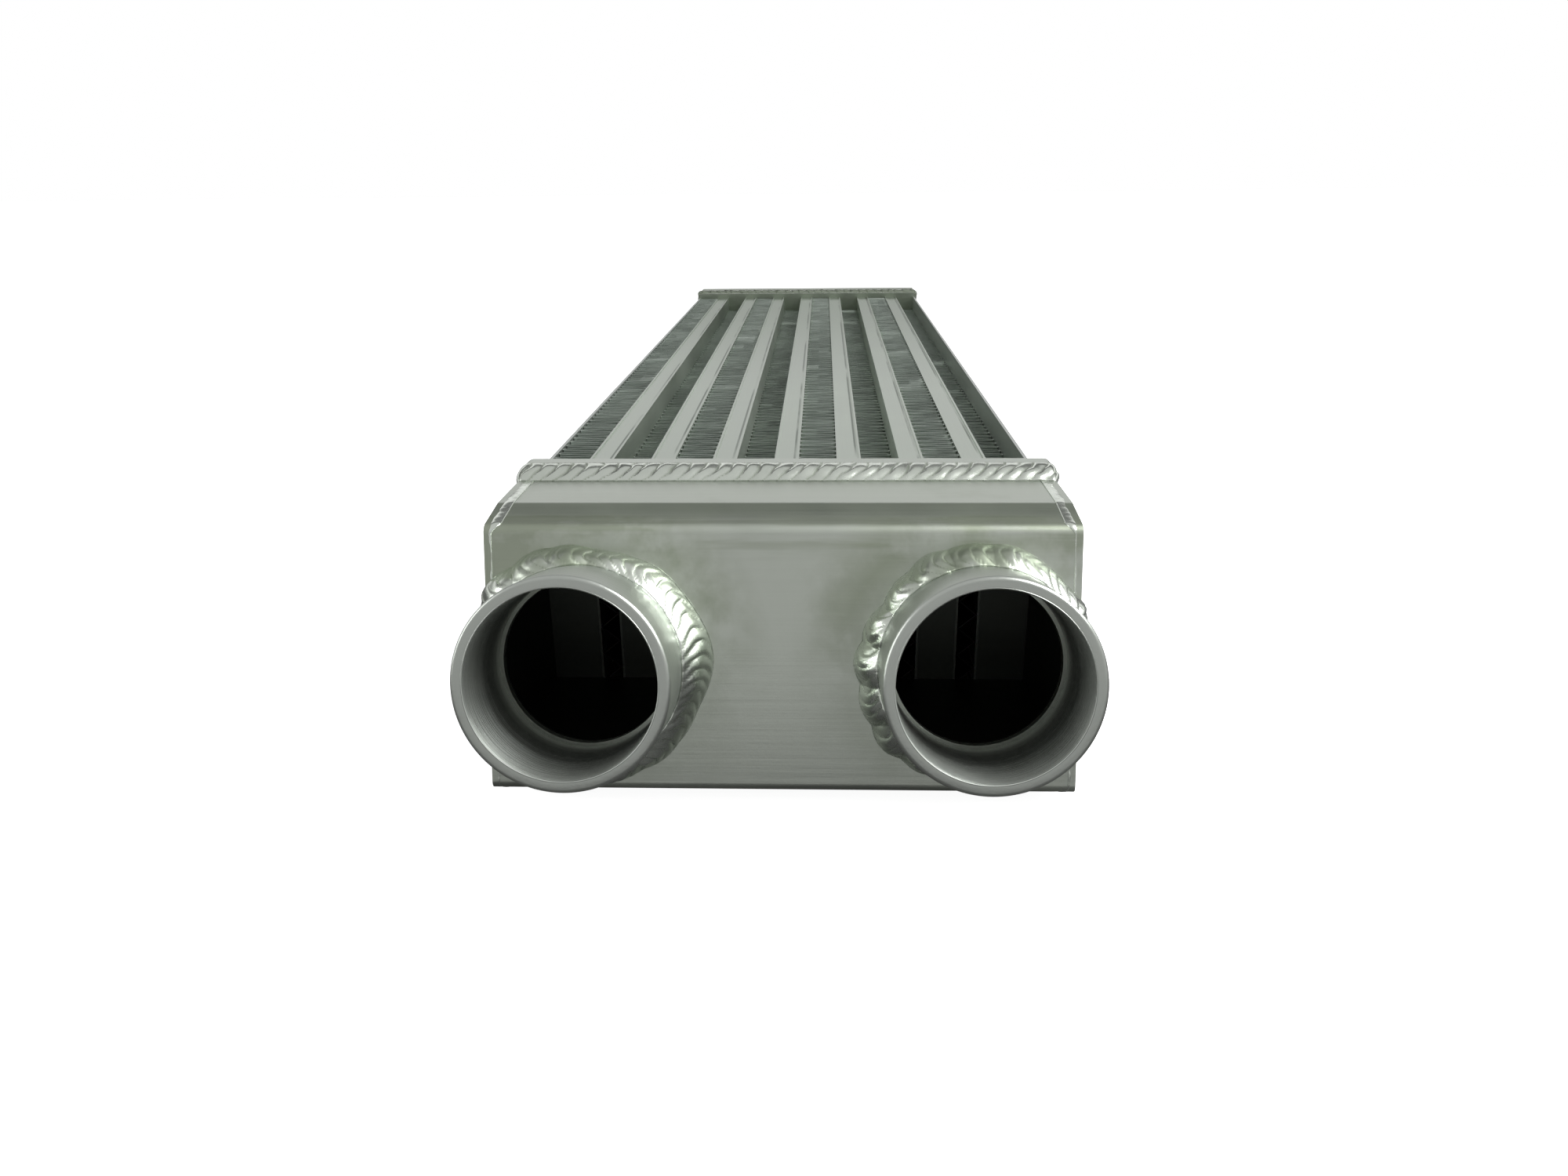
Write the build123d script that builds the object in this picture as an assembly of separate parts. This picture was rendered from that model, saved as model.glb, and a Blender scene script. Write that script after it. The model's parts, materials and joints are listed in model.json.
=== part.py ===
"""A bare aluminium air-to-air intercooler with both hose pipes on one end.

It lies flat. +X is the width, +Y runs along the core away from the pipes, and +Z is up.
Charge air enters one pipe, crosses half of the flat tubes to the closed rear tank, turns
round there and comes back through the other tubes. Cooling air blows through the folded
fins between the tubes, along Z. All lengths are in millimetres.
"""

import math
import os

from build123d import *

# Core: flat charge tubes with a row of folded fins on both sides of each
tube_count = 7
tube_width = 8.8
fin_gap = 13.6
core_length = 523.0
core_height = 95.0

# Flat tube: two sheets, closed at the top and bottom by a bar that stands back a little
tube_wall = 0.8
tube_nose = 9.0
bar_recess = 0.5
tenon_cut = 6.0

# Folded fins on the outside of the tubes
fin_sheet = 0.32
fin_period = 8.4
fin_inset = 0.6
deep_fin_inset = 10.0

# Folded strips inside the tubes
strip_sheet = 0.4
strip_period = 11.0

side_sheet = 1.2
braze_gap = 0.05

# Headers, the plates that the tube ends pass through, and how far they pass the core
header_thickness = 6.0
front_header_lip = 8.6
rear_header_lip = 1.1
header_radius = 3.0

# Front tank: one section along its whole width, a thick land beside the header, then a slope
front_tank_inset = 1.5
face_distance = 66.0
face_tilt = 13.7
land_length = 38.0
land_drop = 3.5
body_drop = 6.0
land_edge_radius = 1.0
top_edge_radius = 3.5
bottom_edge_radius = 2.5
inner_radius = 6.0
tank_wall = 4.0
end_plate = 4.0
divider_sheet = 4.0
divider_seat = 0.1

# Rear tank: a plain rounded cap
rear_tank_depth = 56.0
rear_tank_rise = 3.0
rear_tank_bottom = 2.0
rear_radius = 22.0

# Pipes
pipe_outer_radius = 31.75
pipe_wall = 3.75
pipe_length = 37.2
pipe_side_gap = 0.05
mouth_lip = 1.2
rim_chamfer = 1.2

# Weld beads
weld_bite = 0.4
ring_leg = 8.2
ring_bulge = 1.3
ring_edge = 0.3
ring_sides = 36
ring_side_stop = 0.8
seam_length = 12.0
seam_crown = 5.0
seam_rise = 2.0
seam_drop = 1.4
rear_seam_length = 10.0
rear_seam_rise = 2.0
edge_bead_width = 7.0
edge_bead_rise = 1.2
edge_bead_root = 2.0
edge_bead_turn = 4.5

# Places that follow from the sizes above
pitch = tube_width + fin_gap
core_width = tube_count * pitch + fin_gap
plated_width = core_width + 2 * side_sheet
front_header_width = plated_width + 2 * front_header_lip
front_tank_width = front_header_width - 2 * front_tank_inset
rear_tank_width = plated_width + 2 * rear_header_lip
rear_tank_top = core_height + rear_tank_rise
header_front = -header_thickness
rear_header_back = core_length + header_thickness
middle_height = core_height / 2
land_top = core_height - land_drop
land_bottom = land_drop
body_top = core_height - body_drop
body_bottom = body_drop
seam_end = header_front - seam_length
tilt_slope = math.tan(math.radians(face_tilt))
pipe_inner_radius = pipe_outer_radius - pipe_wall
pipe_mouth_radius = pipe_inner_radius - mouth_lip
pipe_x = front_tank_width / 2 - pipe_outer_radius - pipe_side_gap
centred = (Align.CENTER, Align.CENTER, Align.CENTER)
on_base = (Align.CENTER, Align.CENTER, Align.MIN)


def block(x0, x1, y0, y1, z0, z1):
    """A box between two corners."""
    middle = ((x0 + x1) / 2, (y0 + y1) / 2, (z0 + z1) / 2)
    return Pos(*middle) * Box(x1 - x0, y1 - y0, z1 - z0, align=centred)


def side_section(corners):
    """A face in the YZ plane from (y, z, corner radius) points."""
    outline = Polyline(*[(y, z) for y, z, _ in corners], close=True)
    face = make_face(outline)
    for y, z, radius in corners:
        if radius > 0:
            corner = face.vertices().sort_by_distance((y, z, 0))[0]
            face = fillet(corner, radius)
    return Plane.YZ * face


def along_x(section, x0, x1):
    """The section drawn out from x0 to x1."""
    return Pos(x0, 0, 0) * extrude(section, amount=x1 - x0, dir=(1, 0, 0))


def zigzag(length, period, half_height, sheet):
    """A folded sheet seen end on: folds follow each other along the first axis."""
    folds = 2 * round(length / period)
    step = length / folds
    wall_run = math.hypot(step, 2 * half_height)
    crest = sheet * wall_run / step
    upper = []
    lower = []
    for i in range(folds + 1):
        side = 1 if i % 2 else -1
        centre = side * (half_height - crest / 2)
        upper.append((i * step, centre + crest / 2))
        lower.append((i * step, centre - crest / 2))
    return make_face(Polyline(*upper, *reversed(lower), close=True))


def tube_x(index):
    """Where the middle of a flat tube lies, counted from 1 on the left."""
    return (index - (tube_count + 1) / 2) * pitch


def fin_x(index):
    """Where the middle of a fin row lies, counted from 1 on the left."""
    return (index - (tube_count + 2) / 2) * pitch


def charge_tube(index):
    """A flat tube with its bars between the sheets' edges, and a tenon at both ends."""
    half = tube_width / 2
    bore = half - tube_wall
    body = block(-half, half, 0, core_length, 0, core_height)
    body -= block(-bore, bore, 0, core_length, 0, bar_recess)
    body -= block(-bore, bore, 0, core_length, core_height - bar_recess, core_height)
    top = core_height - tenon_cut
    tenon = block(-half, half, header_front, rear_header_back, tenon_cut, top)
    roof = core_height - tube_nose
    hollow = block(-bore, bore, header_front, rear_header_back, tube_nose, roof)
    return Pos(tube_x(index), 0, 0) * (body + tenon - hollow)


def turbulator(index):
    """The folded strip that fills a flat tube from end to end."""
    height = core_height - 2 * tube_nose - 2 * braze_gap
    half = tube_width / 2 - tube_wall - braze_gap
    strip = zigzag(height, strip_period, half, strip_sheet)
    upright = Plane(origin=(0, 0, 0), x_dir=(0, 0, 1), z_dir=(0, 1, 0)) * strip
    solid = extrude(upright, amount=rear_header_back - header_front, dir=(0, 1, 0))
    return Pos(tube_x(index), header_front, tube_nose + braze_gap) * solid


def fin_row(index):
    """A folded sheet between two tubes. Every second row lies deep between them."""
    inset = fin_inset if index % 2 else deep_fin_inset
    half = fin_gap / 2 - braze_gap
    row = zigzag(core_length - 2 * braze_gap, fin_period, half, fin_sheet)
    flat = Plane(origin=(0, 0, 0), x_dir=(0, 1, 0), z_dir=(0, 0, 1)) * row
    solid = extrude(flat, amount=core_height - 2 * inset, dir=(0, 0, 1))
    return Pos(fin_x(index), braze_gap, inset) * solid


def side_plate(side):
    """The sheet that closes the outer fin row on one side."""
    inner = core_width / 2
    outer = plated_width / 2
    low, high = sorted((side * inner, side * outer))
    return block(low, high, 0, core_length, 0, core_height)


def header(y0, width, z0, z1):
    """A plate with one slot for each tube end."""
    outline = Plane.XZ * RectangleRounded(width, z1 - z0, header_radius)
    plate = extrude(outline, amount=header_thickness, dir=(0, 1, 0))
    plate = Pos(0, y0, (z0 + z1) / 2) * plate
    half = tube_width / 2 + braze_gap
    bottom = tenon_cut - braze_gap
    top = core_height - tenon_cut + braze_gap
    for i in range(1, tube_count + 1):
        x = tube_x(i)
        plate -= block(x - half, x + half, y0, y0 + header_thickness, bottom, top)
    return plate


def face_y(z):
    """How far forward the tilted front face lies at a height."""
    return header_front - face_distance + (z - middle_height) * tilt_slope


def front_outline(land_radius, top_radius, bottom_radius):
    """The front tank from the side: a land, a slope down to the front face, and the face."""
    land_front = header_front - land_length
    return side_section(
        [
            (header_front, land_bottom, 0),
            (header_front, land_top, 0),
            (land_front, land_top, land_radius),
            (face_y(body_top), body_top, top_radius),
            (face_y(body_bottom), body_bottom, bottom_radius),
            (land_front, land_bottom, land_radius),
        ]
    )


def rounded_front_outline():
    """The front tank's outline with its edges rounded."""
    return front_outline(land_edge_radius, top_edge_radius, bottom_edge_radius)


def front_cavity():
    """The room inside the front tank, open towards the header."""
    top = body_top - tank_wall
    bottom = body_bottom + tank_wall
    back = tank_wall / math.cos(math.radians(face_tilt))
    return side_section(
        [
            (header_front, bottom, 0),
            (header_front, top, 0),
            (face_y(top) + back, top, inner_radius),
            (face_y(bottom) + back, bottom, inner_radius),
        ]
    )


def pipe_plane(side):
    """The plane of the front face at a pipe, with its normal along the pipe."""
    tilt = math.radians(face_tilt)
    return Plane(
        origin=(side * pipe_x, face_y(middle_height), middle_height),
        x_dir=(1, 0, 0),
        z_dir=(0, -math.cos(tilt), math.sin(tilt)),
    )


def front_tank_shell():
    """The extruded front tank between its end plates, with a hole for each pipe."""
    half = front_tank_width / 2 - end_plate
    shell = along_x(rounded_front_outline(), -half, half)
    shell -= along_x(front_cavity(), -half, half)
    for side in (-1, 1):
        mouth = Cylinder(pipe_mouth_radius, 4 * tank_wall, align=centred)
        shell -= pipe_plane(side) * mouth
    return shell


def front_end_plate(side):
    """The flat plate that closes one end of the front tank."""
    inner = side * (front_tank_width / 2 - end_plate)
    outer = side * front_tank_width / 2
    low, high = sorted((inner, outer))
    return along_x(rounded_front_outline(), low, high)


def tank_divider():
    """The wall inside the front tank that parts the incoming from the outgoing air."""
    low = pitch / 2 - divider_sheet / 2
    high = pitch / 2 + divider_sheet / 2
    slab = along_x(front_cavity(), low, high)
    return slab - block(low, high, header_front - divider_seat, header_front, 0, core_height)


def pipe(side):
    """A short round pipe that stands on the front face, with its foot melted back a little."""
    foot = Cylinder(pipe_outer_radius - weld_bite, ring_leg, align=on_base)
    plain = Cylinder(pipe_outer_radius, pipe_length - ring_leg, align=on_base)
    tube = foot + Pos(0, 0, ring_leg) * plain
    tube -= Cylinder(pipe_inner_radius, pipe_length, align=on_base)
    rim = tube.edges().filter_by(GeomType.CIRCLE).group_by(Axis.Z)[-1].sort_by(SortBy.RADIUS)
    return pipe_plane(side) * chamfer(rim[-1], rim_chamfer)


def ring_layer(radius, height):
    """One flat-sided layer of a ring weld, which goes round outside the radius."""
    return Pos(0, 0, height) * RegularPolygon(radius, ring_sides, major_radius=False)


def ring_weld(side):
    """The fillet weld round the foot of a pipe, which stops where the pipe meets the side."""
    swell = ring_leg / 2 + ring_bulge / math.sqrt(2)
    toe = ring_layer(pipe_outer_radius + ring_leg, 0)
    crown = ring_layer(pipe_outer_radius + swell, swell)
    top = ring_layer(pipe_outer_radius + ring_edge, ring_leg)
    bead = loft([toe, crown], ruled=True) + loft([crown, top], ruled=True)
    bead -= Cylinder(pipe_outer_radius - weld_bite, ring_leg, align=on_base)
    half = front_tank_width / 2 - ring_side_stop
    keep = block(-half, half, -2 * face_distance, 0, 0, core_height)
    return (pipe_plane(side) * bead) & keep


def seam_layer(y, width, z0, z1):
    """One rectangle across the part, for a lofted seam."""
    return Pos(0, y, (z0 + z1) / 2) * (Plane.XZ * Rectangle(width, z1 - z0))


def front_seam_weld():
    """The bead all round the joint of the front header and tank."""
    crown_y = header_front - seam_crown
    crown_width = front_header_width + 2 * seam_rise
    rear = seam_layer(header_front, front_header_width, 0, core_height)
    crown = seam_layer(crown_y, crown_width, seam_drop, core_height - seam_drop)
    front = seam_layer(seam_end, front_tank_width, land_bottom, land_top)
    bead = loft([rear, crown], ruled=True) + loft([crown, front], ruled=True)
    half = front_tank_width / 2
    return bead - block(-half, half, seam_end, header_front, land_bottom, land_top)


def edge_weld(side, upper):
    """The bead along the top or bottom edge of the front tank, at an end plate."""
    outline = front_outline(0, 0, 0)
    skin = offset(outline, amount=edge_bead_rise, kind=Kind.INTERSECTION)
    skin -= offset(outline, amount=-edge_bead_root, kind=Kind.INTERSECTION)
    outer = side * front_tank_width / 2
    inner = side * (front_tank_width / 2 - edge_bead_width)
    low, high = sorted((inner, outer))
    bead = along_x(skin, low, high)
    reach = body_drop + edge_bead_turn
    z0, z1 = (core_height - reach, core_height) if upper else (0, reach)
    bead &= block(low, high, -2 * face_distance, seam_end, z0, z1)
    return bead - front_tank_shell() - front_end_plate(side)


def rear_outline():
    """The rear tank's outline from the side."""
    back = rear_header_back + rear_tank_depth
    return side_section(
        [
            (rear_header_back, rear_tank_bottom, 0),
            (rear_header_back, rear_tank_top, 0),
            (back, rear_tank_top, rear_radius),
            (back, rear_tank_bottom, rear_radius),
        ]
    )


def rear_cavity():
    """The room inside the rear tank, open towards the header."""
    back = rear_header_back + rear_tank_depth - tank_wall
    radius = rear_radius - tank_wall
    return side_section(
        [
            (rear_header_back, rear_tank_bottom + tank_wall, 0),
            (rear_header_back, rear_tank_top - tank_wall, 0),
            (back, rear_tank_top - tank_wall, radius),
            (back, rear_tank_bottom + tank_wall, radius),
        ]
    )


def rear_tank_shell():
    """The rounded rear tank between its end plates."""
    half = rear_tank_width / 2 - end_plate
    return along_x(rear_outline(), -half, half) - along_x(rear_cavity(), -half, half)


def rear_end_plate(side):
    """The flat plate that closes one end of the rear tank."""
    inner = side * (rear_tank_width / 2 - end_plate)
    outer = side * rear_tank_width / 2
    low, high = sorted((inner, outer))
    return along_x(rear_outline(), low, high)


def rear_seam_weld():
    """The bead all round the joint of the rear header and tank."""
    end = rear_header_back + rear_seam_length
    crown_y = rear_header_back + rear_seam_length / 2
    width = rear_tank_width
    z0 = rear_tank_bottom
    z1 = rear_tank_top
    rise = rear_seam_rise
    start = seam_layer(rear_header_back, width, z0, z1)
    crown = seam_layer(crown_y, width + 2 * rise, z0 - rise, z1 + rise)
    stop = seam_layer(end, width, z0, z1)
    bead = loft([start, crown], ruled=True) + loft([crown, stop], ruled=True)
    half = width / 2
    return bead - block(-half, half, rear_header_back, end, z0, z1)


def make_parts():
    """Every piece by name."""
    parts = {}
    for i in range(1, tube_count + 1):
        parts[f"charge_tube_{i}"] = charge_tube(i)
        parts[f"turbulator_{i}"] = turbulator(i)
    for i in range(1, tube_count + 2):
        parts[f"fin_row_{i}"] = fin_row(i)
    for name, side in (("left", -1), ("right", 1)):
        parts[f"side_plate_{name}"] = side_plate(side)
        parts[f"front_end_plate_{name}"] = front_end_plate(side)
        parts[f"rear_end_plate_{name}"] = rear_end_plate(side)
        parts[f"top_edge_weld_{name}"] = edge_weld(side, upper=True)
        parts[f"bottom_edge_weld_{name}"] = edge_weld(side, upper=False)
    for name, side in (("inlet", -1), ("outlet", 1)):
        parts[f"{name}_pipe"] = pipe(side)
        parts[f"{name}_weld"] = ring_weld(side)
    parts["front_header"] = header(header_front, front_header_width, 0, core_height)
    parts["rear_header"] = header(core_length, rear_tank_width, 0, rear_tank_top)
    parts["front_tank_shell"] = front_tank_shell()
    parts["tank_divider"] = tank_divider()
    parts["rear_tank_shell"] = rear_tank_shell()
    parts["front_seam_weld"] = front_seam_weld()
    parts["rear_seam_weld"] = rear_seam_weld()
    return parts


def main():
    """Build the pieces, centre them along Y and write them."""
    os.makedirs("parts", exist_ok=True)
    parts = make_parts()
    boxes = [solid.bounding_box() for solid in parts.values()]
    front = min(box.min.Y for box in boxes)
    back = max(box.max.Y for box in boxes)
    for name, solid in parts.items():
        export_step(Pos(0, -(front + back) / 2, 0) * solid, f"parts/{name}.step")
    print("overall length", round(back - front, 2))
    print("header front lies at Y", round(header_front - (front + back) / 2, 3))


main()
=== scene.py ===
# %% [markdown]
# # A bare aluminium intercooler
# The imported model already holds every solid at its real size: flat tubes, folded fins,
# headers, tanks and pipes. This script gives them their looks. The few pieces whose solids
# are plainer than the real ones, the fins, the pipes and the welds, are made again here.

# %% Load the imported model
import json
import math

import bmesh
import bpy
from mathutils import Matrix, Vector

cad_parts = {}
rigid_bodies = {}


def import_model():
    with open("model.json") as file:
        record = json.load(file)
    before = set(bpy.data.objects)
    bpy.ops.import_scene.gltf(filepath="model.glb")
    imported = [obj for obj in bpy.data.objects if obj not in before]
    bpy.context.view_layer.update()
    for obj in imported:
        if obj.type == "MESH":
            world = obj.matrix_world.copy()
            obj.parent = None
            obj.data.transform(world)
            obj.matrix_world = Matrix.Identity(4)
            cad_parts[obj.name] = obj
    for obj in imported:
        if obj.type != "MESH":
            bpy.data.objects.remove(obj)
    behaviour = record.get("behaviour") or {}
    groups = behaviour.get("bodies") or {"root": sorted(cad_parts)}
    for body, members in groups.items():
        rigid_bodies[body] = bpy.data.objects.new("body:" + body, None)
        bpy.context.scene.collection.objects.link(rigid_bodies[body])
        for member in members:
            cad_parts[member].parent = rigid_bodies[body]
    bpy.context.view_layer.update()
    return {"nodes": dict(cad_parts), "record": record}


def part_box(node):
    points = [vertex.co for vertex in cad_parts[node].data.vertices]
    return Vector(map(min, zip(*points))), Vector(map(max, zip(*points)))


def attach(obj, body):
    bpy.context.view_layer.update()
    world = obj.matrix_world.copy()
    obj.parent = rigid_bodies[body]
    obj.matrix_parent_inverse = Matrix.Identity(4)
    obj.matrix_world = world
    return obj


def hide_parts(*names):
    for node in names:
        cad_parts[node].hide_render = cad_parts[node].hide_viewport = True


for leftover in list(bpy.data.objects):
    bpy.data.objects.remove(leftover)
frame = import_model()
mm = 0.001

# %% [markdown]
# ## The camera
# The photograph looks down on the pipes from about 30 cm away, so near things look much
# larger than far ones. A camera can be set by eye, but a small error moves every edge. This
# one was worked out from the round pipe rims and the straight edges of the core.

# %% Camera
camera_place = Vector((0.0128, -0.6219, 0.1935))
camera_yaw = math.radians(-2.11)
camera_pitch = math.radians(21.0)
camera_roll = math.radians(-0.6)
sensor_width = 36.0
lens_length = 25.2
nearest_seen = 0.01
pipes_middle = Vector((0, -0.343, 0.056))


def new_object(name, data):
    """An object in the scene, with this camera, mesh or light as its data."""
    made = bpy.data.objects.new(name, data)
    bpy.context.scene.collection.objects.link(made)
    return made


def camera_turn(yaw, pitch, roll):
    """The turn of a camera that looks along +Y, then yaws, looks down and rolls."""
    forward = Vector(
        (math.sin(yaw) * math.cos(pitch), math.cos(yaw) * math.cos(pitch), -math.sin(pitch))
    )
    level = Vector((math.cos(yaw), -math.sin(yaw), 0))
    upright = level.cross(forward)
    right = math.cos(roll) * level + math.sin(roll) * upright
    up = math.cos(roll) * upright - math.sin(roll) * level
    return Matrix((right, up, -forward)).transposed().to_4x4()


camera_data = bpy.data.cameras.new("photo_camera")
camera_data.lens = lens_length
camera_data.sensor_width = sensor_width
camera_data.clip_start = nearest_seen
camera = new_object("photo_camera", camera_data)
camera.matrix_world = Matrix.Translation(camera_place) @ camera_turn(
    camera_yaw, camera_pitch, camera_roll
)
bpy.context.scene.camera = camera
print("camera distance to the pipes:", round((camera_place - pipes_middle).length, 3))

# %% [markdown]
# ## Formulas as nodes
# Materials and Geometry Nodes are both trees of nodes. They can be wired by hand in the
# editor, but a tree built in the script comes out the same each time. To keep its formulas
# short, a small class wraps a node's output: adding or multiplying two such values adds a
# math node to their tree.

# %% Nodes and values


def fill(socket, value):
    """Links a value to the socket, or sets the socket's own number."""
    if isinstance(value, Value):
        value.tree.links.new(value.output, socket)
    else:
        socket.default_value = value


def add(tree, kind, inputs, output=0, **settings):
    """Adds a node, sets its properties and inputs, and gives back one of its outputs."""
    node = tree.nodes.new(kind)
    for name, value in settings.items():
        setattr(node, name, value)
    for name, value in inputs.items():
        fill(node.inputs[name], value)
    return Value(node.outputs[output])


class Value:
    """A node's output. Arithmetic on it adds math nodes to its tree."""

    def __init__(self, output):
        self.output = output
        self.tree = output.id_data

    def calc(self, operation, *others):
        """A math node on this value and the others."""
        inputs = dict(enumerate((self, *others)))
        return add(self.tree, "ShaderNodeMath", inputs, operation=operation)

    def __add__(self, other):
        return self.calc("ADD", other)

    def __sub__(self, other):
        return self.calc("SUBTRACT", other)

    def __rsub__(self, other):
        return self * -1.0 + other

    def __mul__(self, other):
        return self.calc("MULTIPLY", other)

    def __truediv__(self, other):
        return self.calc("DIVIDE", other)

    def __abs__(self):
        return self.calc("ABSOLUTE")


def xyz(vector):
    """The X, Y and Z of a vector."""
    split = add(vector.tree, "ShaderNodeSeparateXYZ", {"Vector": vector})
    return [Value(output) for output in split.output.node.outputs]


def scaled(vector, factor):
    """A vector or a colour times a value."""
    inputs = {"Vector": vector, "Scale": factor}
    return add(factor.tree, "ShaderNodeVectorMath", inputs, operation="SCALE")


print("node helpers:", [helper.__name__ for helper in (fill, add, Value, xyz, scaled)])

# %% [markdown]
# ## Masks
# A mask is a number from 0 to 1 that says where a finish shows. A smooth step makes one from
# a distance, and a noise that passes a limit makes soft patches. A painted picture could do
# the same, but masks that are worked out need no unwrapping and stay sharp close up.

# %% Masks and noises
noise_roughness = 0.6


def blend(share, first, last):
    """From the first value to the last, by a share."""
    inputs = {"Factor": share, "A": first, "B": last}
    return add(share.tree, "ShaderNodeMix", inputs, data_type="FLOAT")


def ramp(value, low, high):
    """A smooth step from 0 at low to 1 at high."""
    inputs = {"Value": value, "From Min": low, "From Max": high, "To Min": 0.0, "To Max": 1.0}
    return add(value.tree, "ShaderNodeMapRange", inputs, interpolation_type="SMOOTHSTEP")


def noise(place, scale, detail):
    """A noise value around a half."""
    inputs = {"Vector": place, "Scale": scale, "Detail": detail, "Roughness": noise_roughness}
    return add(place.tree, "ShaderNodeTexNoise", inputs)


def stretched(place, scale):
    """The place scaled by its own number along each axis, for a noise drawn out in lines."""
    return add(place.tree, "ShaderNodeMapping", {"Vector": place, "Scale": scale})


def patches(place, scale, detail, low, high):
    """Soft patches where a noise rises from low to high."""
    return ramp(noise(place, scale, detail), low, high)


def faded(colour, mask, loss):
    """A colour that loses a share of its red, green and blue where the mask is one."""
    left = [mask * -share + 1.0 for share in loss]
    factor = add(mask.tree, "ShaderNodeCombineXYZ", dict(zip("XYZ", left)))
    return add(mask.tree, "ShaderNodeVectorMath", {0: colour, 1: factor}, operation="MULTIPLY")


def kept_value(tree, name):
    """A value that a piece keeps on its points."""
    return add(tree, "ShaderNodeAttribute", {}, output="Fac", attribute_name=name)


print("roughness of the metals' noises:", noise_roughness)

# %% [markdown]
# ## Bare aluminium
# Every piece is bare metal, so the finishes differ in roughness, in how much light they give
# back and in the way their fine lines run. Each could be a tree of its own, but they share so
# much that one function makes them all. A soft blotch changes the colour and the roughness
# over a few centimetres, and a stretched noise makes the lines left by rolling or a brush. A
# wear-and-shade function may then change the roughness, the height of the surface and the
# colour, which takes real wear as well as painted shade.

# %% One bare metal
blotch_scale = 14.0
streak_strength = 0.35
rough_change = 0.25
speck_scale = 900.0
speck_height = 0.25
bump_height = 0.2 * mm


def metal(name, shade, roughness, lines, line_depth, blotch=0.12, wear_and_shade=None):
    """Bare metal. lines is the noise scale along X, Y and Z: small along the lines."""
    made = bpy.data.materials.new(name)
    made.use_nodes = True
    tree = made.node_tree
    place = add(tree, "ShaderNodeTexCoord", {}, output="Object")
    line = noise(stretched(place, lines), scale=1.0, detail=4.0)
    change = noise(place, blotch_scale, detail=5.0) - 0.5 + (line - 0.5) * streak_strength
    colour = scaled(shade, change * (2 * blotch) + 1.0)
    rough = change * rough_change + roughness
    relief = 0.0
    if wear_and_shade:
        colour, rough, relief = wear_and_shade(place, colour, rough)
    height = noise(place, speck_scale, detail=2.0) * speck_height + (line + relief)
    bump = {"Height": height, "Strength": line_depth, "Distance": bump_height}
    shader = tree.nodes["Principled BSDF"].inputs
    fill(shader["Metallic"], 1.0)
    fill(shader["Base Color"], colour)
    fill(shader["Roughness"], rough)
    fill(shader["Normal"], add(tree, "ShaderNodeBump", bump))
    return made


print("blotches of about", round(1000 / blotch_scale), "mm")

# %% [markdown]
# ### Where wear and painted shade lie
# Wear and painted shade follow the object: heat goes round the pipes, and painted shade lies
# in the tank behind them.
# Marks could be painted on by hand, but they are easier to change when they are worked out
# from a few named sizes of the imported model.

# %% Places on the pipes, the tank and the core
pipe_x = 61.7 * mm
pipe_height = 47.5 * mm
pipe_length = 37.2 * mm
face_at_pipe = -306.811 * mm
face_tilt = math.radians(13.7)
inner_half = 90.5 * mm
inner_low = 9.0 * mm
inner_high = 86.0 * mm
inner_wall = 3.2 * mm
header_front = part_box("front_header")[0].y
tube_low, tube_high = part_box("charge_tube_4")
tube_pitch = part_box("charge_tube_5")[0].x - tube_low.x
print("tubes every", round(tube_pitch / mm, 2), "mm, header from y of", round(header_front, 4))

# %% [markdown]
# ### Painted shade at the far end
# Tubes, headers, tanks and welds all grow darker towards the far tank, where less light falls.
# Lamps alone can't do that, because bare metal mostly mirrors its surroundings. So painted
# shade darkens the colour itself along Y, by a loss that each finish chooses.

# %% Painted shade towards the far tank
far_shade_start = -150.0 * mm
far_shade_end = 260.0 * mm
sheet_far_shade = (0.45, 0.42, 0.48)
tube_far_shade = (0.36, 0.33, 0.37)
weld_far_shade = (0.55, 0.52, 0.58)


def painted_far_shade(place, colour, loss):
    """A colour darkened by painted shade towards the far tank."""
    y = xyz(place)[1]
    return faded(colour, ramp(y, far_shade_start, far_shade_end), loss)


print("the dulling takes", round((far_shade_end - far_shade_start) / mm), "mm")

# %% [markdown]
# ### Painted shade inside the tank
# Through the pipes one looks into a nearly black room, with the slots of the header at its
# back. Shadows alone would leave clean metal gleaming there. So everything inside the tank's
# walls gets painted shade that takes most of its light, and the header and the tubes a little
# less, so that the slots show.

# %% Painted shade inside the tank
inside_shade_edge = 0.2 * mm
inside_shade_full = header_front + 0.5 * mm
inside_shade_end = header_front + 1.0 * mm
inside_shade_rough = 0.2
tank_inside_shade = 0.9
header_inside_shade = 0.78
tube_inside_shade = 0.6


def inside_tank(place):
    """One in the room inside the front tank, and zero on everything outside it."""
    x, y, z = xyz(place)
    face = (z - pipe_height) * math.tan(face_tilt) + face_at_pipe
    return (
        ramp(y - face, inner_wall - inside_shade_edge, inner_wall)
        * ramp(y, inside_shade_end, inside_shade_full)
        * ramp(abs(x), inner_half, inner_half - inside_shade_edge)
        * ramp(z, inner_low, inner_low + inside_shade_edge)
        * ramp(z, inner_high, inner_high - inside_shade_edge)
    )


def painted_inside_shade(place, colour, rough, loss):
    """Painted shade inside the tank: darker, and also rougher."""
    mask = inside_tank(place)
    return faded(colour, mask, (loss, loss, loss)), rough + mask * inside_shade_rough, 0.0


def header_painted_shade(place, colour, rough):
    """Painted shade at the far end and on the inner face."""
    colour = painted_far_shade(place, colour, sheet_far_shade)
    return painted_inside_shade(place, colour, rough, header_inside_shade)


print("room inside the tank:", round(2 * inner_half / mm), "mm wide")
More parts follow.
